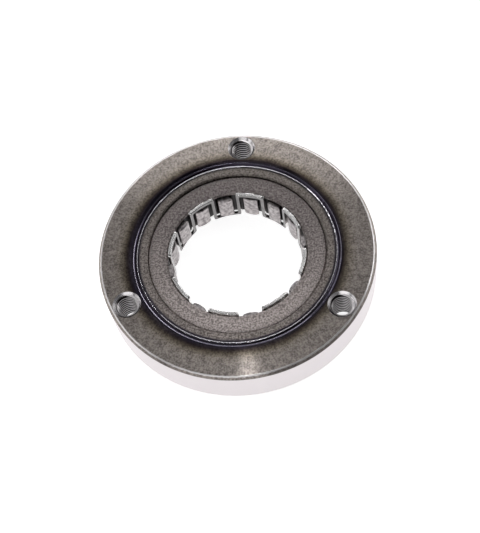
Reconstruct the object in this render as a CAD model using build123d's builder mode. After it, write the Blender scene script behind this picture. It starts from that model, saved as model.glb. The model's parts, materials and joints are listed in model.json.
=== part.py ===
"""One-way starter clutch: sixteen sprags caged inside a welded outer ring.

Origin: centre of the bottom face, on the clutch's axis.
+Z runs along the axis, up to the face with the countersunk holes.
+Y passes through the first of the three tapped holes.
All sizes are in millimetres and all angles in degrees.
"""

import os
from math import asin, atan2, cos, degrees, radians, sin, sqrt

from build123d import *

os.makedirs("parts", exist_ok=True)

# Sprags: the circle their inner ends leave, and their own outline
sprag_count = 16
first_sprag_angle = 36.2
inscribed_radius = 21.75
sprag_height = 7.67
outer_cam_radius = 3.5
inner_cam_radius = 7.0
cam_offset = 1.2
head_half_leading = 3.0
head_half_trailing = 2.9
head_corner_round = 0.5
waist_leading = 2.65
waist_trailing = 2.15
waist_depth = 1.45
shoulder_drop = 0.35
pivot_lead_angle = 1.8
sprag_end_chamfer = 0.3

# Outer race, measured outwards from the track that the sprags jam against
track_clearance = 0.08
race_wall = 4.9
race_groove_chamfer = 1.35
race_edge_chamfer = 0.45
plate_seat_width = 0.6

# Mounting ring, measured outwards from the seam
ring_height = 14.3
ring_width = 12.35
ring_edge_chamfer = 0.95
ring_foot_chamfer = 0.4
ring_edge_round = 0.4
ring_groove_chamfer = 1.5

# Tapped holes, M8 x 1.25, drawn at the thread's major diameter
hole_count = 3
first_hole_angle = 90.0
hole_inward_offset = 0.1
thread_major_diameter = 8.0
countersink_diameter = 9.6
back_chamfer_diameter = 8.8

# Weld seam between the ring and the race
weld_depth_at_ring = 0.6
weld_depth_at_race = 0.2
weld_ripple = 0.16
weld_valley_drop = 0.1
weld_valley_offset = 0.13

# Steps down from the ring's face to the race's land and to the side plate at its bore
race_drop = 0.9
plate_drop = 2.25
plate_thickness = 0.8
plate_overlap = 1.75
plate_dish = 0.4
plate_bore_chamfer = 0.4
plate_edge_round = 0.5

# Cage behind the spring, with one window for each sprag
cage_waist_offset = 0.27
cage_thickness = 0.7
cage_rim_height = 0.75
cage_rim_clearance = 0.1
cage_flange_thickness = 0.6
cage_flange_width = 2.1
flange_clearance = 0.08
flange_seat_clearance = 0.05
window_width = 5.8
window_offset = 0.3
window_corner = 0.6
sprag_end_clearance = 0.15

# Spring bent to and fro between the sprags
spring_clearance = 0.1
spring_thickness = 1.2
spring_bar_width = 1.3
spring_rise = 0.6
spring_upper_rail = 1.2
spring_lower_rail = 0.55
spring_lift = 0.1
spring_inner_corner = 0.5
spring_outer_corner = 0.8
spring_edge_round = 0.25

# Radii that follow, from the inside out
cell_angle = 360 / sprag_count
plate_bore_radius = inscribed_radius + plate_overlap
spring_outer_radius = plate_bore_radius - spring_clearance
spring_inner_radius = spring_outer_radius - spring_thickness
spring_mid_radius = (spring_outer_radius + spring_inner_radius) / 2
pivot_radius = inscribed_radius + sprag_height - outer_cam_radius
cage_inner_radius = pivot_radius - waist_depth - cage_waist_offset
cage_outer_radius = cage_inner_radius + cage_thickness
track_radius = inscribed_radius + sprag_height + track_clearance
plate_radius = track_radius + plate_seat_width
cage_flange_radius = track_radius + cage_flange_width
counterbore_radius = cage_flange_radius + flange_clearance
seam_radius = track_radius + race_wall
ring_radius = seam_radius + ring_width
face_inner_radius = seam_radius + ring_groove_chamfer
face_outer_radius = ring_radius - ring_edge_chamfer
hole_circle_radius = (face_inner_radius + face_outer_radius) / 2 - hole_inward_offset

# Heights that follow, from the top down
race_top = ring_height - race_drop
plate_top = ring_height - plate_drop
plate_underside = plate_top - plate_thickness
spring_top = plate_top + spring_rise
cage_top = plate_underside - cage_rim_clearance
window_top = cage_top - cage_rim_height
window_height = window_top - cage_flange_thickness
sprag_bottom = cage_flange_thickness + sprag_end_clearance
sprag_length = window_top - sprag_end_clearance - sprag_bottom
counterbore_depth = cage_flange_thickness + flange_seat_clearance
through = ring_height * 2


def polar(radius, angle):
    """Return the point at this radius and angle in the plane of the ring."""
    return (radius * cos(radians(angle)), radius * sin(radians(angle)))


def radial_plane(angle):
    """Return an upright plane through the axis, facing out along the angle."""
    outward = (cos(radians(angle)), sin(radians(angle)), 0)
    sideways = (-sin(radians(angle)), cos(radians(angle)), 0)
    return Plane(origin=(0, 0, 0), x_dir=sideways, z_dir=outward)


def save(part, name):
    """Label a finished piece and write its STEP file."""
    part.label = name
    export_step(part, f"parts/{name}.step")


# Mounting ring: a turned ring with chamfered rims and three tapped holes
with BuildPart() as mounting_ring:
    with BuildSketch(Plane.XY):
        Circle(ring_radius)
        Circle(seam_radius, mode=Mode.SUBTRACT)
    extrude(amount=ring_height)
    circles = mounting_ring.edges().filter_by(GeomType.CIRCLE).sort_by(SortBy.RADIUS)
    rim_edges = circles[-2:].sort_by(Axis.Z)
    chamfer(rim_edges[0], length=ring_foot_chamfer)
    chamfer(rim_edges[1], length=ring_edge_chamfer)
    face_edges = mounting_ring.faces().sort_by(Axis.Z)[-1].edges().sort_by(SortBy.RADIUS)
    fillet(face_edges[-1], radius=ring_edge_round)
    bore_edges = mounting_ring.edges().filter_by(GeomType.CIRCLE).sort_by(SortBy.RADIUS)[:2]
    chamfer(bore_edges.sort_by(Axis.Z)[-1], length=ring_groove_chamfer)
    with Locations(Location((0, 0, ring_height), (0, 0, first_hole_angle))):
        with PolarLocations(hole_circle_radius, hole_count):
            CounterSinkHole(
                radius=thread_major_diameter / 2,
                counter_sink_radius=countersink_diameter / 2,
                depth=through,
                counter_sink_angle=90,
            )
    hole_edges = mounting_ring.faces().sort_by(Axis.Z)[0].edges().sort_by(SortBy.RADIUS)
    chamfer(hole_edges[:hole_count], length=(back_chamfer_diameter - thread_major_diameter) / 2)
save(mounting_ring.part, "mounting_ring")

# Outer race: the hardened track the sprags jam against
with BuildPart() as outer_race:
    with BuildSketch(Plane.XY):
        Circle(seam_radius)
        Circle(track_radius, mode=Mode.SUBTRACT)
    extrude(amount=race_top)
    with BuildSketch(Plane.XZ):
        with BuildLine():
            Polyline(
                (plate_bore_radius, plate_underside),
                (plate_radius, plate_underside + plate_dish),
                (plate_radius, through),
                (plate_bore_radius, through),
                close=True,
            )
        make_face()
    revolve(axis=Axis.Z, mode=Mode.SUBTRACT)
    with BuildSketch(Plane.XY):
        Circle(counterbore_radius)
    extrude(amount=counterbore_depth, mode=Mode.SUBTRACT)
    top_edges = outer_race.faces().sort_by(Axis.Z)[-1].edges().sort_by(SortBy.RADIUS)
    chamfer(top_edges[-1], length=race_groove_chamfer)
    top_edges = outer_race.faces().sort_by(Axis.Z)[-1].edges().sort_by(SortBy.RADIUS)
    chamfer(top_edges[0], length=race_edge_chamfer)
save(outer_race.part, "outer_race")

# Weld seam: fills the bottom of the groove between the ring and the race
ring_toe = (seam_radius + ring_groove_chamfer - weld_depth_at_ring, ring_height - weld_depth_at_ring)
race_toe = (seam_radius - race_groove_chamfer + weld_depth_at_race, race_top - weld_depth_at_race)
valley = (seam_radius - weld_valley_offset, race_toe[1] - weld_valley_drop)


def ripple(start, end):
    """Return the point midway between two, lifted to the crest of a weld ripple."""
    return ((start[0] + end[0]) / 2, (start[1] + end[1]) / 2 + weld_ripple)


with BuildPart() as weld_seam:
    with BuildSketch(Plane.XZ):
        with BuildLine():
            Line(race_toe, (seam_radius, race_top - race_groove_chamfer))
            Line((seam_radius, race_top - race_groove_chamfer), (seam_radius, ring_height - ring_groove_chamfer))
            Line((seam_radius, ring_height - ring_groove_chamfer), ring_toe)
            ThreePointArc(ring_toe, ripple(ring_toe, valley), valley)
            ThreePointArc(valley, ripple(valley, race_toe), race_toe)
        make_face()
    revolve(axis=Axis.Z)
save(weld_seam.part, "weld_seam")

# Side plate: a thin ring, slightly dished, set in the race's recess
with BuildPart() as side_plate:
    with BuildSketch(Plane.XZ):
        with BuildLine():
            Polyline(
                (plate_bore_radius, plate_underside),
                (plate_radius, plate_underside + plate_dish),
                (plate_radius, plate_top + plate_dish),
                (plate_bore_radius, plate_top),
                close=True,
            )
        make_face()
    revolve(axis=Axis.Z)
    bore_edges = side_plate.edges().filter_by(GeomType.CIRCLE).sort_by(SortBy.RADIUS)[:2]
    chamfer(bore_edges.sort_by(Axis.Z)[-1], length=plate_bore_chamfer)
    outer_edges = side_plate.edges().filter_by(GeomType.CIRCLE).sort_by(SortBy.RADIUS)[-2:]
    fillet(outer_edges.sort_by(Axis.Z)[-1], radius=plate_edge_round)
save(side_plate.part, "side_plate")

# Sprag cage: a flanged cup with sixteen windows
with BuildPart() as sprag_cage:
    with BuildSketch(Plane.XY):
        Circle(cage_outer_radius)
        Circle(cage_inner_radius, mode=Mode.SUBTRACT)
    extrude(amount=cage_top)
    with BuildSketch(Plane.XY):
        Circle(cage_flange_radius)
        Circle(cage_inner_radius, mode=Mode.SUBTRACT)
    extrude(amount=cage_flange_thickness)
    for index in range(sprag_count):
        pivot_angle = first_sprag_angle + pivot_lead_angle + index * cell_angle
        with BuildSketch(radial_plane(pivot_angle)):
            with Locations((-window_offset, (cage_flange_thickness + window_top) / 2)):
                RectangleRounded(window_width, window_height, window_corner)
        extrude(amount=track_radius, mode=Mode.SUBTRACT)
save(sprag_cage.part, "sprag_cage")

# Meander spring: upright bars between the sprags, joined above and below in turn
bar_half_angle = degrees(asin(spring_bar_width / 2 / spring_mid_radius))
opening_width = 2 * spring_mid_radius * sin(radians(cell_angle / 2 - bar_half_angle))
with BuildPart() as meander_spring:
    with BuildSketch(Plane.XY.offset(spring_lift)):
        Circle(spring_outer_radius)
        Circle(spring_inner_radius, mode=Mode.SUBTRACT)
    extrude(amount=spring_top - spring_lift)
    for index in range(sprag_count):
        if index % 2 == 0:
            opening_middle = spring_top - spring_upper_rail - through / 2
        else:
            opening_middle = spring_lift + spring_lower_rail + through / 2
        with BuildSketch(radial_plane(first_sprag_angle + index * cell_angle)):
            with Locations((0, opening_middle)):
                RectangleRounded(opening_width, through, spring_inner_corner)
        extrude(amount=track_radius, mode=Mode.SUBTRACT)
    for level in (spring_top, spring_lift):
        straight_edges = meander_spring.edges().filter_by(GeomType.LINE)
        corner_edges = straight_edges.filter_by_position(Axis.Z, level - 0.01, level + 0.01)
        fillet(corner_edges, radius=spring_outer_corner)
    fillet(meander_spring.faces().sort_by(Axis.Z)[-1].edges().filter_by(GeomType.CIRCLE), radius=spring_edge_round)
save(meander_spring.part, "meander_spring")

# Outline of a sprag, seen from above with its pivot at (0, 0) and the axis far below
cam_centre_radius = inscribed_radius + inner_cam_radius
cam_centre = (cam_offset, sqrt(cam_centre_radius**2 - cam_offset**2) - pivot_radius)
facing_axis = degrees(atan2(-pivot_radius - cam_centre[1], -cam_centre[0]))
leading_end = facing_axis + degrees(asin(head_half_leading / inner_cam_radius))
trailing_end = facing_axis - degrees(asin(head_half_trailing / inner_cam_radius))
shoulder = degrees(asin(shoulder_drop / outer_cam_radius))

# Sprags: one node each
for index in range(sprag_count):
    pivot_angle = first_sprag_angle + pivot_lead_angle + index * cell_angle
    pivot = polar(pivot_radius, pivot_angle)
    along = (sin(radians(pivot_angle)), -cos(radians(pivot_angle)), 0)
    with BuildPart() as sprag:
        with BuildSketch(Plane(origin=(*pivot, sprag_bottom), x_dir=along, z_dir=(0, 0, 1))):
            with BuildLine():
                outer_cam = CenterArc((0, 0), outer_cam_radius, -shoulder, 180 + 2 * shoulder)
                inner_cam = CenterArc(cam_centre, inner_cam_radius, trailing_end, leading_end - trailing_end)
                ThreePointArc(outer_cam @ 1, (-waist_trailing, -waist_depth), inner_cam @ 0)
                ThreePointArc(outer_cam @ 0, (waist_leading, -waist_depth), inner_cam @ 1)
            make_face()
        extrude(amount=sprag_length)
        upright_edges = sprag.edges().filter_by(Axis.Z).sort_by_distance((0, 0, sprag_bottom))
        fillet(upright_edges[:2], radius=head_corner_round)
        end_edges = sprag.faces().sort_by(Axis.Z)[0].edges() + sprag.faces().sort_by(Axis.Z)[-1].edges()
        chamfer(end_edges, length=sprag_end_chamfer)
    save(sprag.part, f"sprag_{index + 1:02d}")
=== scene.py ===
# %% [markdown]
# # Dressing a starter clutch
#
# A sprag clutch lets a starter motor turn an engine, and lets go by itself once the engine runs.
# Its solids are made already: a turned ring, a hardened race welded into it, a side plate, a
# cage, a bright meander spring and sixteen sprags. This lesson loads those solids as a fixed
# frame, moves none of them, and gives each one the finish of the real metal. Only the three
# screw threads are too fine for the solids, so they are built here as meshes.

import json
import math

import bpy
from mathutils import Matrix, Vector


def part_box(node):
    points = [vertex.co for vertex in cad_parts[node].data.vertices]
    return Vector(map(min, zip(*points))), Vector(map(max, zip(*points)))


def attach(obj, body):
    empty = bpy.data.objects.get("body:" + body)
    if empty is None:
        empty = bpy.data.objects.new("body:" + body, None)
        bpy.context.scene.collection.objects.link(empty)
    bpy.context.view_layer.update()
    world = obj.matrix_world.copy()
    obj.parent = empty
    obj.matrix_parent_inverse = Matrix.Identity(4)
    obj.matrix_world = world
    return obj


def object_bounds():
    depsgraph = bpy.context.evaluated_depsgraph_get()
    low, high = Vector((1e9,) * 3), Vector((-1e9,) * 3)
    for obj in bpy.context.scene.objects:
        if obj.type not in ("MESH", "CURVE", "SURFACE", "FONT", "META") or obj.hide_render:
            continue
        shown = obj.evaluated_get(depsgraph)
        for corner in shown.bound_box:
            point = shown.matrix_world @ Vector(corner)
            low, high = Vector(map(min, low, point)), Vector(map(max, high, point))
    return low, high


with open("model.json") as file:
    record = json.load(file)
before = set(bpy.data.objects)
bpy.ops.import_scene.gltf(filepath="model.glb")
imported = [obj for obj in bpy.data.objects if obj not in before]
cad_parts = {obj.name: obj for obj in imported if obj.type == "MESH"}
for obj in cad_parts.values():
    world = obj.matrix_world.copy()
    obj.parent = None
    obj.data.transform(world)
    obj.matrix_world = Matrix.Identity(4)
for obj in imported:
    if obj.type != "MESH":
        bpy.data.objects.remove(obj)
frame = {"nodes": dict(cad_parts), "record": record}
solid_low, solid_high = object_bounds()
record = frame["record"]

# %% [markdown]
# ## Sizes
#
# The threads must fit the solids exactly, and the finishes must follow their edges. So the main
# sizes are read from the frame: its record holds the pattern of the holes and the radius of the
# rim, and its box holds the height. Only the sizes of a finish, such as the width of the heat
# tint, are typed in. Blender counts in metres, and one helper turns millimetres into them.


# %% Sizes of the clutch
def mm(value):
    """Millimetres as metres."""
    return value / 1000


mount_sizes = {mount["name"]: mount["dims"] for mount in record["mounts"]}
bolts = mount_sizes["flywheel_bolts"]
HOLE_RADIUS = mm(bolts["hole_r_mm"])
HOLE_CIRCLE_RADIUS = mm(bolts["pcd_mm"] / 2)
FIRST_HOLE = 90
HOLE_CENTRES = []
for number in range(bolts["count"]):
    turn = math.radians(FIRST_HOLE + number * 360 / bolts["count"])
    across, back = HOLE_CIRCLE_RADIUS * math.cos(turn), HOLE_CIRCLE_RADIUS * math.sin(turn)
    HOLE_CENTRES.append((across, back, 0))
RIM_RADIUS = mm(mount_sizes["rim"]["r_mm"])
RING_TOP = solid_high.z
print("rim radius", RIM_RADIUS, "ring top", round(RING_TOP, 5), "holes", len(HOLE_CENTRES))

# %% [markdown]
# ## Camera
#
# The clutch lies flat and is seen from well above, turned a little, with the picture rolled a
# few degrees. A constraint could aim the camera, but its place would then be known only after
# Blender has solved it. So the matrix is worked out here: a place on a line of sight through
# the bottom of the clutch, turned to look back along that line, then rolled about it. A fairly
# long lens keeps the far side of the ring nearly as wide as the near side.

# %% Camera
AZIMUTH = math.radians(12.4)
ELEVATION = math.radians(61.4)
ROLL = math.radians(-11.3)
DISTANCE = mm(380)
AIM = Vector((0, 0, mm(0.8)))
LENS = 74.4
SHIFT_UP = 0.0037
NEAREST, FARTHEST = 0.01, 10

toward_camera = Vector(
    (
        math.sin(AZIMUTH) * math.cos(ELEVATION),
        -math.cos(AZIMUTH) * math.cos(ELEVATION),
        math.sin(ELEVATION),
    )
)
camera_data = bpy.data.cameras.new("portrait_lens")
camera_data.lens = LENS
camera_data.shift_y = SHIFT_UP
camera_data.clip_start = NEAREST
camera_data.clip_end = FARTHEST
camera = bpy.data.objects.new("portrait_camera", camera_data)
bpy.context.scene.collection.objects.link(camera)
stand = Matrix.Translation(AIM + toward_camera * DISTANCE)
upright = (-toward_camera).to_track_quat("-Z", "Y").to_matrix().to_4x4()
camera.matrix_world = stand @ upright @ Matrix.Rotation(ROLL, 4, "Z")
bpy.context.scene.camera = camera
print("camera at", [round(c, 4) for c in camera.location])

# %% [markdown]
# ## Materials as sums
#
# A finish on turned metal is mostly a matter of radius: how bright the metal is so far from the
# axis, how rough, how high. Such rules can be wired by hand in the shader editor, but they read
# best as arithmetic. The class below wraps one output of a node, and each `+`, `-`, `*` or `/`
# on it adds a Math node, whether the number stands behind the wire or in front of it.


# %% A wire with arithmetic
class Wire:
    """One output socket of a material, with Python's arithmetic."""

    def __init__(self, sheet, socket):
        self.sheet = sheet
        self.socket = socket

    def _math(self, operation, first, second):
        return self.sheet.add("ShaderNodeMath", {"operation": operation}, {0: first, 1: second})

    def __add__(self, other):
        return self._math("ADD", self, other)

    def __sub__(self, other):
        return self._math("SUBTRACT", self, other)

    def __rsub__(self, other):
        return self._math("SUBTRACT", other, self)

    def __mul__(self, other):
        return self._math("MULTIPLY", self, other)

    def __truediv__(self, other):
        return self._math("DIVIDE", self, other)

    def __rtruediv__(self, other):
        return self._math("DIVIDE", other, self)

    __radd__ = __add__
    __rmul__ = __mul__


print("a wire adds, subtracts, multiplies and divides")

# %% [markdown]
# ## One method for every other node
#
# A material is a sheet of nodes. Writing three or four lines for each node soon hides what the
# material does, so every node comes from one method, `add`. It takes the node's type, then its
# settings, which go first because they can change its sockets, and then the value or the wire
# of each socket. A world has nodes too, so a sheet can be laid out for either.


# %% The sheet that wires are drawn on
class Sheet:
    """One material, or the world, and the nodes drawn on it."""

    def __init__(self, name, kind=bpy.data.materials):
        self.material = kind.new(name)
        self.material.use_nodes = True
        self.nodes = self.material.node_tree.nodes
        self.links = self.material.node_tree.links
        self.nodes.clear()

    def add(self, kind, settings=None, sockets=None, output=0):
        """Draw one node and return the wire of one output."""
        node = self.nodes.new(kind)
        for name, value in (settings or {}).items():
            if name == "stops":
                self._set_stops(node.color_ramp, value)
            else:
                setattr(node, name, value)
        for name, value in (sockets or {}).items():
            if isinstance(value, Wire):
                self.links.new(value.socket, node.inputs[name])
            else:
                node.inputs[name].default_value = value
        return Wire(self, node.outputs[output]) if node.outputs else None

    def _set_stops(self, ramp, stops):
        """Put a colour at each stop of a ramp."""
        while len(ramp.elements) < len(stops):
            ramp.elements.new(0.5)
        for element, (position, colour) in zip(ramp.elements, stops):
            element.position = position
            element.color = colour


print("a sheet is ready to be drawn on")

# %% [markdown]
# ## Masks, blends and rays
#
# Most of a finish comes down to a few moves: pick a vector apart, turn a length into a mask from
# 0 to 1, look a colour up along that mask, or blend two colours by it. The Mix node keeps its
# colours apart from its numbers, at sockets of their own, so those have names here. The last
# helper tells a ray that looks straight at a thing from one that gathers its light.

# %% Helpers for every sheet
MIX_AMOUNT, MIX_FIRST, MIX_SECOND, MIX_RESULT = 0, 6, 7, 2


def rgb(red, green, blue):
    """An opaque colour."""
    return (red, green, blue, 1)


def parts_of(sheet, vector):
    """The x, y and z of a vector."""
    split = sheet.add("ShaderNodeSeparateXYZ", sockets={0: vector})
    node = split.socket.node
    return [Wire(sheet, node.outputs[axis]) for axis in "XYZ"]


def along(sheet, value, start, end, kind="LINEAR"):
    """0 at start, 1 at end, and a straight rise between them."""
    settings = {"interpolation_type": kind}
    sockets = {"Value": value, "From Min": start, "From Max": end}
    return sheet.add("ShaderNodeMapRange", settings, sockets)


def step(sheet, value, start, end):
    """0 below start, 1 above end, and smooth between them."""
    return along(sheet, value, start, end, "SMOOTHSTEP")


def ramp(sheet, value, stops):
    """The colour at a value from 0 to 1, between stops of (value, colour)."""
    return sheet.add("ShaderNodeValToRGB", {"stops": stops}, {0: value})


def mix_colour(sheet, amount, first, second):
    """Blend from the first colour to the second."""
    settings = {"data_type": "RGBA", "clamp_factor": True}
    sockets = {MIX_AMOUNT: amount, MIX_FIRST: first, MIX_SECOND: second}
    return sheet.add("ShaderNodeMix", settings, sockets, output=MIX_RESULT)


def ray_sees(sheet):
    """1 where the camera or a reflection looks straight at a thing, 0 for its light."""
    straight = sheet.add("ShaderNodeLightPath", output="Is Camera Ray")
    mirrored = sheet.add("ShaderNodeLightPath", output="Is Glossy Ray")
    passed = sheet.add("ShaderNodeLightPath", output="Is Transmission Ray")
    return straight + mirrored + passed


print("masks, blends and rays are ready")

# %% [markdown]
# ## Floor
#
# The clutch lies on a white sheet that also fills the background. Stronger lamps would make the
# sheet white, but they would burn out the steel as well. So the paper is a plain pale grey that
# also glows where the camera or a reflection looks straight at it, and nowhere else. It looks
# white, also where the steel mirrors it, and it still takes the clutch's shadow.

# %% Floor
FLOOR_HALF = 1.2
FLOOR_HEIGHT = -mm(0.02)
PAPER = rgb(0.82, 0.82, 0.82)
PAPER_GLOW = {"Color": rgb(1, 1, 1), "Strength": 0.8}

floor_mesh = bpy.data.meshes.new("floor")
floor_corners = [
    (side * FLOOR_HALF, end * FLOOR_HALF, FLOOR_HEIGHT)
    for side, end in ((-1, -1), (1, -1), (1, 1), (-1, 1))
]
floor_mesh.from_pydata(floor_corners, [], [(0, 1, 2, 3)])

paper = Sheet("white_paper")
matt = paper.add("ShaderNodeBsdfDiffuse", sockets={"Color": PAPER})
glow = paper.add("ShaderNodeEmission", sockets=PAPER_GLOW)
lit = paper.add("ShaderNodeAddShader", sockets={0: matt, 1: glow})
seen = paper.add("ShaderNodeMixShader", sockets={0: ray_sees(paper), 1: matt, 2: lit})
paper.add("ShaderNodeOutputMaterial", sockets={"Surface": seen})

floor = bpy.data.objects.new("floor", floor_mesh)
floor.data.materials.append(paper.material)
bpy.context.scene.collection.objects.link(floor)
print("floor is", 2 * FLOOR_HALF, "m wide")

# %% [markdown]
# ## Lamps
#
# Steel shows what stands round it, so the place and size of a lamp matter more than its power.
# One bare sun would leave most of the ring black, so there are several soft rectangles. The
# strip overhead draws the narrow bright fan across the turned face. The panels behind and at
# the right give the face its grey, with a small weak card that the far side mirrors. The
# windows in front and at the left light the countersinks, the threads and the near edge.

# %% Lamps
# Each lamp: azimuth and elevation in degrees, distance, width and height in metres, watts.
LAMPS = {
    "overhead_strip": (108, 79, 0.8, (0.012, 0.16), 0.15),
    "back_panel": (95, 43, 0.9, (0.7, 0.15), 1.85),
    "right_panel": (35, 42, 0.9, (0.5, 0.2), 1.15),
    "back_left_panel": (140, 47, 0.9, (0.35, 0.26), 0.18),
    "mirror_card": (102, 61, 0.9, (0.12, 0.10), 0.065),
    "front_window": (257, 30, 0.9, (0.9, 0.3), 0.9),
    "camera_window": (240, 57, 0.9, (0.6, 0.14), 0.4),
    "left_window": (190, 33, 0.9, (0.6, 0.42), 0.85),
}


def hang_lamp(name, azimuth, elevation, distance, size, power):
    """An area lamp aimed at the clutch from a compass direction and a height."""
    data = bpy.data.lights.new(name, "AREA")
    data.shape = "RECTANGLE"
    data.size, data.size_y = size
    data.energy = power
    light = bpy.data.objects.new(name, data)
    around, up = math.radians(azimuth), math.radians(elevation)
    toward = Vector(
        (math.cos(around) * math.cos(up), math.sin(around) * math.cos(up), math.sin(up))
    )
    light.location = toward * distance
    light.rotation_mode = "QUATERNION"
    light.rotation_quaternion = toward.to_track_quat("Z", "Y")
    bpy.context.scene.collection.objects.link(light)


for name, settings in LAMPS.items():
    hang_lamp(name, *settings)
bpy.context.scene.view_settings.view_transform = "Standard"
print("lamps:", ", ".join(LAMPS))

# %% [markdown]
# ## The room
#
# Where steel mirrors no lamp it mirrors the room. A white room would wash out the turned face,
# and a black one would leave the rim without anything to shine with. So the room is a dim grey
# with a white sweep low along the horizon. Only the camera and reflections see the sweep, so
# the clutch gets its reflection but no more light.

# %% Room
ROOM_GREY = rgb(0.08, 0.08, 0.083)
SWEEP_WHITE = rgb(0.85, 0.85, 0.85)
FADE_START, FADE_END = 0.08, 0.34

room = Sheet("grey_room_with_white_sweep", bpy.data.worlds)
height = parts_of(room, room.add("ShaderNodeTexCoord", output="Generated"))[2]
sweep = (1 - step(room, height, FADE_START, FADE_END)) * ray_sees(room)
room_colour = mix_colour(room, sweep, ROOM_GREY, SWEEP_WHITE)
room_light = room.add("ShaderNodeBackground", sockets={"Color": room_colour, "Strength": 1.0})
room.add("ShaderNodeOutputWorld", sockets={"Surface": room_light})
bpy.context.scene.world = room.material
print("the sweep ends", round(math.degrees(math.asin(FADE_END))), "degrees up")

# %% [markdown]
# ## Where a point lies
#
# Nearly every mark on the clutch lies round its axis or round a screw hole, so the finishes ask
# how far a point is from those. Coordinates painted on the mesh could carry that, but the
# solids have none. The object coordinate gives a point in the clutch's own frame, in metres,
# and the distances follow from it.


# %% Places and distances
def place(sheet):
    """The point being shaded, in the clutch's own frame, in metres."""
    return sheet.add("ShaderNodeTexCoord", output="Object")


def from_axis(sheet, vector):
    """Distance of a point from the clutch's axis, in metres."""
    flat = sheet.add("ShaderNodeVectorMath", {"operation": "MULTIPLY"}, {0: vector, 1: (1, 1, 0)})
    return sheet.add("ShaderNodeVectorMath", {"operation": "LENGTH"}, {0: flat}, output="Value")


def from_holes(sheet, vector):
    """Distance of a point from the axis of the nearest tapped hole, in metres."""
    nearest = None
    for centre in HOLE_CENTRES:
        sockets = {0: vector, 1: centre}
        moved = sheet.add("ShaderNodeVectorMath", {"operation": "SUBTRACT"}, sockets)
        distance = from_axis(sheet, moved)
        if nearest is None:
            nearest = distance
        else:
            sockets = {0: nearest, 1: distance}
            nearest = sheet.add("ShaderNodeMath", {"operation": "MINIMUM"}, sockets)
    return nearest


print("places and distances are ready")

# %% [markdown]
# ## Marks in the skin
#
# What tells one steel from another is its skin: the fine grain of a cut or blasted face and the
# ring marks that a lathe leaves. Noise makes both: it is grain as it comes, and ring marks when
# only the radius is fed to it. Both go into the colour as much as into bumps, because bumps this
# fine are lost from a distance. A painted shade is added too: a slow mask that darkens the
# clutch little by little from one side to the other, towards its far side.

# %% Grain, ring marks and painted shade
SAND = 1700
PAINTED_SHADE_START, PAINTED_SHADE_END = mm(-28), mm(30)
DEEPEST_BUMP = mm(0.05)


def grain(sheet, vector, cells, detail=3.0):
    """Grey noise of so many cells per metre, about 0 to 1."""
    sockets = {"Vector": vector, "Scale": cells, "Detail": detail, "Roughness": 0.6}
    return sheet.add("ShaderNodeTexNoise", sockets=sockets)


def rings(sheet, radius, pitch):
    """Uneven ring marks round the axis, about so many metres apart."""
    outward = sheet.add("ShaderNodeCombineXYZ", sockets={0: radius / pitch, 1: 0.0, 2: 0.0})
    sockets = {"Vector": outward, "Scale": 1.0, "Detail": 4.0}
    return sheet.add("ShaderNodeTexNoise", {"noise_dimensions": "3D"}, sockets)


def speckled(sheet, speckle, dark, light):
    """Two colours strewn like sand."""
    return mix_colour(sheet, step(sheet, speckle, 0.35, 0.65), dark, light)


def banded(sheet, radius, colour, dark, pitch, amount):
    """Broad, faint ring marks of a darker colour."""
    bands = step(sheet, rings(sheet, radius, pitch), 0.42, 0.60)
    return mix_colour(sheet, bands * amount, colour, dark)


def shaded(sheet, vector, colour, dark, amount):
    """A painted shade that darkens a piece little by little towards +Y, the far side."""
    backward = step(sheet, parts_of(sheet, vector)[1], PAINTED_SHADE_START, PAINTED_SHADE_END)
    return mix_colour(sheet, backward * amount, colour, dark)


def bumped(sheet, height, strength):
    """A normal tilted by the slopes of a height."""
    sockets = {"Height": height, "Distance": DEEPEST_BUMP, "Strength": strength}
    return sheet.add("ShaderNodeBump", sockets=sockets)


print("sand has", SAND, "cells per metre")

# %% [markdown]
# ## One shader for all the steel
#
# All of the clutch is bare metal, so `Metallic` is 1 throughout and the base colour is what the
# metal reflects. Marks round the axis stretch a reflection across them, which is what draws a
# bright fan on a turned face. Thousands of real grooves could do that, but the shader's own
# anisotropy does it at once, and `Anisotropic Rotation` sets the direction of the marks.

# %% Steel
ROUND_THE_AXIS = 0.25  # in turns


def metal(sheet, colour, roughness, normal, anisotropic):
    """Bare metal whose marks run round the axis."""
    sockets = {
        "Base Color": colour,
        "Metallic": 1.0,
        "Roughness": roughness,
        "Anisotropic": anisotropic,
        "Anisotropic Rotation": ROUND_THE_AXIS,
        "Normal": normal,
    }
    return sheet.add("ShaderNodeBsdfPrincipled", sockets=sockets)


def steel(sheet, colour, roughness, height, strength, anisotropic=0.0):
    """Finish a sheet of steel: a bump under one metal shader."""
    normal = bumped(sheet, height, strength)
    shader = metal(sheet, colour, roughness, normal, anisotropic)
    sheet.add("ShaderNodeOutputMaterial", sockets={"Surface": shader})
    return sheet.material


def dress(node, material):
    """Give a solid of the frame its finish."""
    solid = bpy.data.objects[node]
    for slot in solid.material_slots:
        slot.material = material
    if not solid.material_slots:
        solid.data.materials.append(material)


print("steel is ready")

# %% [markdown]
# ## The ring's heat tint
#
# The mounting ring is turned on its faces and ground on its rim. Welding heated its inner
# margin, and a thin oxide left the colours of tempering there: blue black at the weld, then
# purple, brown, olive and straw, and bare grey beyond. Painting them would fix them to one
# mesh, so a colour ramp over the radius lays them down. Slow noise makes the edges ragged, and
# a small lean makes the tint wider on one side, as the weld heated one side more.

# %% Heat tint of the ring
BLUE_BLACK = rgb(0.026, 0.023, 0.042)
VIOLET = rgb(0.026, 0.019, 0.022)
BROWN = rgb(0.11, 0.09, 0.068)
OLIVE = rgb(0.25, 0.215, 0.17)
STRAW = rgb(0.41, 0.36, 0.31)
GREY = rgb(0.47, 0.42, 0.385)
TINT_START, TINT_END, TINT_SHIFT = mm(35.0), mm(43.0), mm(0.15)
RAGGED = mm(0.8)
LEAN_X, LEAN_Y = 0.0135, 0.0113

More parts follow.
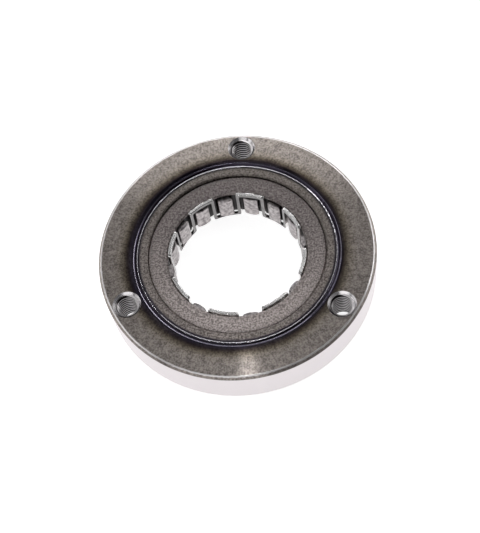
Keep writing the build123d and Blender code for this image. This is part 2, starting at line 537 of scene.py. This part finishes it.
ring = Sheet("turned_ring_steel")
point = place(ring)
radius = from_axis(ring, point)
x, y, z = parts_of(ring, point)
wobble = (grain(ring, point, cells=90) - 0.5) * RAGGED
lean = x * LEAN_X + y * LEAN_Y
tint = along(ring, radius + wobble + lean - TINT_SHIFT, TINT_START, TINT_END)
tint_colour = ramp(
    ring,
    tint,
    [(0, BLUE_BLACK), (0.13, VIOLET), (0.24, BROWN), (0.35, OLIVE), (0.50, STRAW), (0.75, GREY)],
)
print("tint from", round(TINT_START * 1000, 1), "to", round(TINT_END * 1000, 1), "mm")

# %% [markdown]
# ## The ring's face
#
# Up close the turned face is not one grey. It has soft clouds a few millimetres across, blotches
# under them and a dark grain like fine sand. Roughness could carry that grain too, but with
# stretched reflections it breaks them into bright worms, so roughness stays even and the grain
# is in the colour. The ground rim is clean and lighter.

# %% Clouds, blotches and sand
CLOUD = rgb(0.31, 0.275, 0.25)
GRAIN_DARK = rgb(0.02, 0.015, 0.017)
RIM_BRIGHT = rgb(0.80, 0.755, 0.77)
CLOUD_LEVEL, CLOUD_SHARE = 0.4, 0.5
SAND_SHARE, BLOTCH_SHARE, GRAIN_DEPTH = 0.7, 0.28, 0.66

clouds = grain(ring, point, cells=60, detail=4.0)
sand = step(ring, grain(ring, point, SAND), 0.38, 0.62)
blotch = step(ring, grain(ring, point, cells=420), 0.40, 0.62)
face_colour = mix_colour(ring, (clouds - CLOUD_LEVEL) * CLOUD_SHARE, tint_colour, CLOUD)
dark_grain = mix_colour(ring, GRAIN_DEPTH, tint_colour, GRAIN_DARK)
grainy = sand * SAND_SHARE + blotch * BLOTCH_SHARE
face_colour = mix_colour(ring, grainy, face_colour, dark_grain)
on_rim = step(ring, radius, RIM_RADIUS - mm(0.08), RIM_RADIUS - mm(0.02))
ring_colour = mix_colour(ring, on_rim, face_colour, RIM_BRIGHT)
print("the rim starts", round((RIM_RADIUS - mm(0.02)) * 1000, 2), "mm from the axis")

# %% [markdown]
# ## The ring's holes and edge
#
# Countersinks are cut last, through the dull skin, so they are bright. The wall of a tapped hole
# lies in its own shade, so deep in the hole it gets a painted shade, dark between the ridges.
# Handling has rubbed the edge where the face turns down to the rim, and a painted highlight on
# the rubbed line makes it shine unevenly. Each could be a part of the mesh with a material of
# its own, but a mask by distance needs no cut in the solid.

# %% Countersinks, hole walls in painted shade and the rubbed edge's painted highlight
COUNTERSINK_BRIGHT = rgb(0.86, 0.83, 0.84)
WALL_PAINTED_SHADE = rgb(0.05, 0.045, 0.045)
RUBBED_EDGE_HIGHLIGHT = rgb(0.92, 0.89, 0.89)
COUNTERSINK_RADIUS = HOLE_RADIUS + mm(0.8)

hole_distance = from_holes(ring, point)
near_hole = 1 - step(ring, hole_distance, COUNTERSINK_RADIUS - mm(0.1), COUNTERSINK_RADIUS)
below_face = 1 - step(ring, z, RING_TOP - mm(0.06), RING_TOP - mm(0.02))
in_countersink = near_hole * below_face
ring_colour = mix_colour(ring, in_countersink, ring_colour, COUNTERSINK_BRIGHT)

# Painted shade on the hole walls, deep in each hole.
on_wall = 1 - step(ring, hole_distance, HOLE_RADIUS + mm(0.01), HOLE_RADIUS + mm(0.06))
deep = 1 - step(ring, z, RING_TOP - mm(2.0), RING_TOP - mm(1.6))
ring_colour = mix_colour(ring, on_wall * deep, ring_colour, WALL_PAINTED_SHADE)

# Painted highlight along the rubbed edge where the face turns down to the rim.
uneven_radius = radius + (grain(ring, point, cells=700) - 0.5) * mm(0.5)
outside = step(ring, uneven_radius, RIM_RADIUS - mm(1.3), RIM_RADIUS - mm(1.15))
inside = 1 - step(ring, uneven_radius, RIM_RADIUS - mm(0.8), RIM_RADIUS - mm(0.65))
on_top = step(ring, z, RING_TOP - mm(0.5), RING_TOP - mm(0.3))
ring_colour = mix_colour(ring, outside * inside * on_top, ring_colour, RUBBED_EDGE_HIGHLIGHT)
print("masks made for", len(HOLE_CENTRES), "holes and one edge")

# %% [markdown]
# ## The ring's shine
#
# A turned face throws two reflections at once: a wide, satin one from its grain and a narrow one
# from the polished crests of the tool marks. One roughness gives only one of them, so two metal
# shaders are mixed. The rim is ground, with no tool marks, and takes the satin one alone.

# %% Satin and glint
SATIN_ROUGHNESS, GLINT_ROUGHNESS, COUNTERSINK_POLISH = 0.36, 0.14, 0.1
GLINT_SHARE = 0.4

ring_normal = bumped(ring, rings(ring, radius, pitch=mm(0.35)), strength=0.06)
satin_roughness = SATIN_ROUGHNESS - in_countersink * COUNTERSINK_POLISH
satin = metal(ring, ring_colour, satin_roughness, ring_normal, anisotropic=0.75)
glint = metal(ring, ring_colour, GLINT_ROUGHNESS, ring_normal, anisotropic=1.0)
shine = {0: (1 - on_rim) * GLINT_SHARE, 1: satin, 2: glint}
ring_shader = ring.add("ShaderNodeMixShader", sockets=shine)
ring.add("ShaderNodeOutputMaterial", sockets={"Surface": ring_shader})
dress("mounting_ring", ring.material)
print("mounting ring dressed,", len(ring.nodes), "nodes")

# %% [markdown]
# ## The outer race
#
# The race was ground and then dulled in the furnace, so it is browner and darker than the ring,
# with faint bands from the wheel. Beside the weld it is burnt nearly black. The same grain as
# on the ring keeps the two looking like one forging, and masks by radius put the bands and the
# burnt margin in place.

# %% Outer race
RACE_DARK, RACE_LIGHT = rgb(0.115, 0.10, 0.092), rgb(0.43, 0.382, 0.358)
RACE_BURNT = rgb(0.05, 0.045, 0.06)
RACE_BAND = rgb(0.12, 0.10, 0.10)
RACE_PAINTED_SHADE = rgb(0.06, 0.055, 0.045)
BURNT_START, BURNT_END = mm(32.2), mm(33.2)

race = Sheet("hardened_race_steel")
point = place(race)
radius = from_axis(race, point)
speckle = grain(race, point, SAND)
ragged = (grain(race, point, cells=120) - 0.5) * mm(0.3)
burnt = step(race, radius + ragged, BURNT_START, BURNT_END)
race_colour = mix_colour(race, burnt, speckled(race, speckle, RACE_DARK, RACE_LIGHT), RACE_BURNT)
race_colour = banded(race, radius, race_colour, RACE_BAND, pitch=mm(0.9), amount=0.25)
# A painted shade darkens the race little by little towards its far side.
race_colour = shaded(race, point, race_colour, RACE_PAINTED_SHADE, amount=0.5)
race_marks = rings(race, radius, pitch=mm(0.3)) + speckle * 0.5
roughness = 0.40 + speckle * 0.06
race_steel = steel(race, race_colour, roughness, race_marks, strength=0.12, anisotropic=0.5)
dress("outer_race", race_steel)
print("race dressed,", len(race.nodes), "nodes")

# %% [markdown]
# ## The weld
#
# The weld is a low double ripple of metal between ring and race, covered in blue black oxide
# that is smooth as glass. Its shape is in the solid. Only its two crests catch the light, as
# thin lines, and a lamp would have to stand just right to draw them from every side, so two
# pale stops on a ramp over the radius paint them in: painted highlights on the crests.

# %% Weld seam
WELD_START, WELD_END = mm(33.2), mm(35.4)
# Blue black oxide, with pale stops at 0.21 and 0.77 that are painted highlights on the crests.
WELD_OXIDE_AND_HIGHLIGHT_STOPS = [
    (0, rgb(0.03, 0.028, 0.035)),
    (0.12, rgb(0.08, 0.075, 0.085)),
    (0.21, rgb(0.72, 0.70, 0.74)),
    (0.30, rgb(0.05, 0.045, 0.06)),
    (0.66, rgb(0.035, 0.03, 0.05)),
    (0.77, rgb(0.34, 0.32, 0.38)),
    (0.88, rgb(0.02, 0.017, 0.03)),
    (1, rgb(0.03, 0.026, 0.045)),
]

weld = Sheet("blue_black_weld")
point = place(weld)
speckle = grain(weld, point, cells=2500, detail=2.0)
across = along(weld, from_axis(weld, point), WELD_START, WELD_END)
weld_colour = ramp(weld, across, WELD_OXIDE_AND_HIGHLIGHT_STOPS)
weld_steel = steel(weld, weld_colour, 0.16 + speckle * 0.12, speckle, strength=0.15)
dress("weld_seam", weld_steel)
print("weld dressed,", len(weld.nodes), "nodes")

# %% [markdown]
# ## The side plate
#
# The side plate is a plain stamping with a fine matte skin, a little paler and redder than the
# race. It is made as the race is, without the burnt margin, because the weld's heat did not
# reach it, and with a wider pitch of marks.

# %% Side plate
PLATE_DARK, PLATE_LIGHT = rgb(0.165, 0.143, 0.138), rgb(0.52, 0.463, 0.443)
PLATE_BAND = rgb(0.13, 0.11, 0.11)
PLATE_PAINTED_SHADE = rgb(0.06, 0.052, 0.055)

plate = Sheet("matte_plate_steel")
point = place(plate)
radius = from_axis(plate, point)
speckle = grain(plate, point, SAND)
plate_colour = speckled(plate, speckle, PLATE_DARK, PLATE_LIGHT)
plate_colour = banded(plate, radius, plate_colour, PLATE_BAND, pitch=mm(1.1), amount=0.3)
# A painted shade darkens the plate little by little towards its far side.
plate_colour = shaded(plate, point, plate_colour, PLATE_PAINTED_SHADE, amount=0.5)
plate_marks = speckle * 0.5 + rings(plate, radius, pitch=mm(0.4))
roughness = 0.34 + speckle * 0.05
plate_steel = steel(plate, plate_colour, roughness, plate_marks, strength=0.12, anisotropic=0.3)
dress("side_plate", plate_steel)
print("plate dressed,", len(plate.nodes), "nodes")

# %% [markdown]
# ## The cage
#
# The cage is drawn from sheet and stands behind the spring, where it is hardly seen. It is
# evenly matte, and its dark steel is painted nearly black, a painted shade that makes the dark
# gaps on both sides of each sprag. A flat black would do from far away, but up close it would
# look like a hole, so it has a soft grain.

# %% Cage
# Nearly black, partly as a painted shade for the gaps beside the sprags.
CAGE_DARK, CAGE_LIGHT = rgb(0.035, 0.033, 0.034), rgb(0.07, 0.066, 0.068)

cage = Sheet("dark_cage_with_painted_gap_shade")
point = place(cage)
speckle = grain(cage, point, cells=900)
cage_colour = mix_colour(cage, speckle, CAGE_DARK, CAGE_LIGHT)
cage_steel = steel(cage, cage_colour, 0.45 + speckle * 0.1, speckle, strength=0.15)
dress("sprag_cage", cage_steel)
print("cage dressed,", len(cage.nodes), "nodes")

# %% [markdown]
# ## The meander spring
#
# The spring is bright strip, punched to a meander and rolled to a circle. Its edges and its
# outer side are polished, and the side towards the bore is a darker grey. The strip's
# thickness tells the two apart: a point nearer to the axis than the rest is on the inner side.

# %% Meander spring
STRIP_THICKNESS = mm(1.2)
EDGE_DARK, EDGE_LIGHT = rgb(0.74, 0.73, 0.72), rgb(0.96, 0.95, 0.94)
FLAT_DARK, FLAT_LIGHT = rgb(0.14, 0.135, 0.135), rgb(0.34, 0.33, 0.33)

strip = Sheet("bright_spring_strip")
point = place(strip)
speckle = grain(strip, point, cells=500, detail=2.0)
edge_colour = mix_colour(strip, speckle, EDGE_DARK, EDGE_LIGHT)
flat_colour = mix_colour(strip, speckle, FLAT_DARK, FLAT_LIGHT)
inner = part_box("meander_spring")[1].x - STRIP_THICKNESS
on_flat = 1 - step(strip, from_axis(strip, point), inner + mm(0.04), inner + mm(0.12))
strip_colour = mix_colour(strip, on_flat, edge_colour, flat_colour)
spring_steel = steel(strip, strip_colour, 0.10 + speckle * 0.04, speckle, strength=0.03)
dress("meander_spring", spring_steel)
print("spring dressed,", len(strip.nodes), "nodes")

# %% [markdown]
# ## The sprags
#
# The sprags are drawn from hard wire, cut and tumbled. They are satin, a little warm in colour
# and mottled, and fine marks of the drawing run along their length. Noise squeezed in one
# direction gives such marks. All sixteen share one material, and because it reads the place in
# the clutch, no two of them look alike.

# %% Sprags
SPRAG_DARK, SPRAG_LIGHT = rgb(0.22, 0.20, 0.205), rgb(0.58, 0.54, 0.54)
DRAWN_OUT = (1, 1, 0.15)

worn = Sheet("tumbled_sprag_steel")
point = place(worn)
stretched = worn.add("ShaderNodeVectorMath", {"operation": "MULTIPLY"}, {0: point, 1: DRAWN_OUT})
drawn = grain(worn, stretched, cells=1800)
speckle = grain(worn, point, cells=1500, detail=2.0)
mottle = step(worn, grain(worn, point, cells=800), 0.30, 0.70)
sprag_colour = mix_colour(worn, mottle, SPRAG_DARK, SPRAG_LIGHT)
sprag_marks = drawn + speckle * 0.4
sprag_steel = steel(worn, sprag_colour, 0.28 + speckle * 0.15, sprag_marks, strength=0.2)
sprags = [node for node in frame["nodes"] if node.startswith("sprag_") and node != "sprag_cage"]
for node in sprags:
    dress(node, sprag_steel)
print("sprags dressed:", len(sprags))

# %% [markdown]
# ## The shape of a thread
#
# A tapped hole shows a helix of ridges on its wall. The solids have plain holes of the thread's
# full diameter, because a helix would be heavy in them and no bolt could be fitted to it. A
# screw modifier could sweep the ridge, but it can't fade it out. So each helix is built point
# by point: a ridge with a narrow crest, swept round the hole, one pitch higher for every turn,
# that dies away at both ends where the tap leaves the metal.

# %% A helix on the wall of a hole
THREAD_PITCH = mm(1.25)
THREAD_DEPTH = mm(0.66)
CREST_HALF = mm(0.09)
ROOT_HALF = mm(0.5)
SUNK_IN_WALL = mm(0.02)
STEPS_PER_TURN = 48
FADE_IN_TURNS, FADE_OUT_TURNS = 0.5, 0.1


def thread_mesh(name, centre, low, high, ceiling):
    """A helical ridge on the wall of a hole, cut off flat at a ceiling."""
    count = int((high - low) / THREAD_PITCH * STEPS_PER_TURN)
    verts, faces = [], []
    for index in range(count + 1):
        turn = 2 * math.pi * index / STEPS_PER_TURN
        height = low + THREAD_PITCH * index / STEPS_PER_TURN
        fade_in = index / (STEPS_PER_TURN * FADE_IN_TURNS)
        fade_out = (count - index) / (STEPS_PER_TURN * FADE_OUT_TURNS)
        root = HOLE_RADIUS + SUNK_IN_WALL
        crest = HOLE_RADIUS - THREAD_DEPTH * min(1, fade_in, fade_out)
        foot, top = (root, -ROOT_HALF), (crest, -CREST_HALF)
        top_above, foot_above = (crest, CREST_HALF), (root, ROOT_HALF)
        for reach, lift in (foot, top, top_above, foot_above):
            across = centre[0] + reach * math.cos(turn)
            back = centre[1] + reach * math.sin(turn)
            verts.append((across, back, min(height + lift, ceiling)))
        if index:
            new, old = 4 * index, 4 * (index - 1)
            for side in range(3):
                faces.append((old + side, new + side, new + side + 1, old + side + 1))
    mesh = bpy.data.meshes.new(name)
    mesh.from_pydata(verts, [], faces)
    mesh.update()
    return mesh


print("a thread is", round(THREAD_DEPTH * 1000, 2), "mm deep")

# %% [markdown]
# ## The finish of a thread
#
# A cut thread is bright on its crests and dark in its roots, where little light gets in. The
# ridges are so small here that shadows alone don't show them, so the crests get a painted
# highlight and the roots a painted shade, by the distance from the hole's axis, which says how
# deep in the root a point lies. Near the mouth of the hole, where light falls straight in, the
# roots are left bright.

# %% Cut thread
ROOT_START, ROOT_END = HOLE_RADIUS - THREAD_DEPTH * 0.92, HOLE_RADIUS - THREAD_DEPTH * 0.72
MOUTH_START, MOUTH_END = RING_TOP - mm(1.5), RING_TOP - mm(0.9)
# Crest colours are a painted highlight and the root colour a painted shade.
CREST_HIGHLIGHT_DIM, CREST_HIGHLIGHT_BRIGHT = rgb(0.75, 0.72, 0.72), rgb(0.95, 0.92, 0.93)
ROOT_PAINTED_SHADE = rgb(0.025, 0.02, 0.022)

cut = Sheet("cut_thread_steel")
point = place(cut)
speckle = grain(cut, point, cells=1200)
in_root = step(cut, from_holes(cut, point), ROOT_START, ROOT_END)
in_mouth = step(cut, parts_of(cut, point)[2], MOUTH_START, MOUTH_END)
crest_highlight = mix_colour(cut, speckle, CREST_HIGHLIGHT_DIM, CREST_HIGHLIGHT_BRIGHT)
thread_colour = mix_colour(cut, in_root * (1 - in_mouth), crest_highlight, ROOT_PAINTED_SHADE)
thread_steel = steel(cut, thread_colour, 0.3 + speckle * 0.08, speckle, strength=0.05)
print("thread steel has", len(cut.nodes), "nodes")

# %% [markdown]
# ## Cutting the threads
#
# One mesh could be shared by the three holes, but then each would need a place of its own, and
# every piece of the clutch keeps its place in its mesh. So each hole gets its own helix. It
# rides on the body that the ring belongs to, and starts and stops a little inside the ring, so
# that nothing stands proud of either face.

# %% Threads in the three holes
THREAD_LOW, THREAD_HIGH = mm(0.7), RING_TOP - mm(0.7)
THREAD_CEILING = RING_TOP - mm(0.84)

bodies = record["behaviour"]["bodies"]
ring_body = next(body for body, nodes in bodies.items() if "mounting_ring" in nodes)
for number, centre in enumerate(HOLE_CENTRES, 1):
    name = f"thread_{number}"
    helix = thread_mesh(name, centre, THREAD_LOW, THREAD_HIGH, THREAD_CEILING)
    thread = bpy.data.objects.new(name, helix)
    thread.data.materials.append(thread_steel)
    bpy.context.scene.collection.objects.link(thread)
    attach(thread, ring_body)
print("threads cut:", len(HOLE_CENTRES))
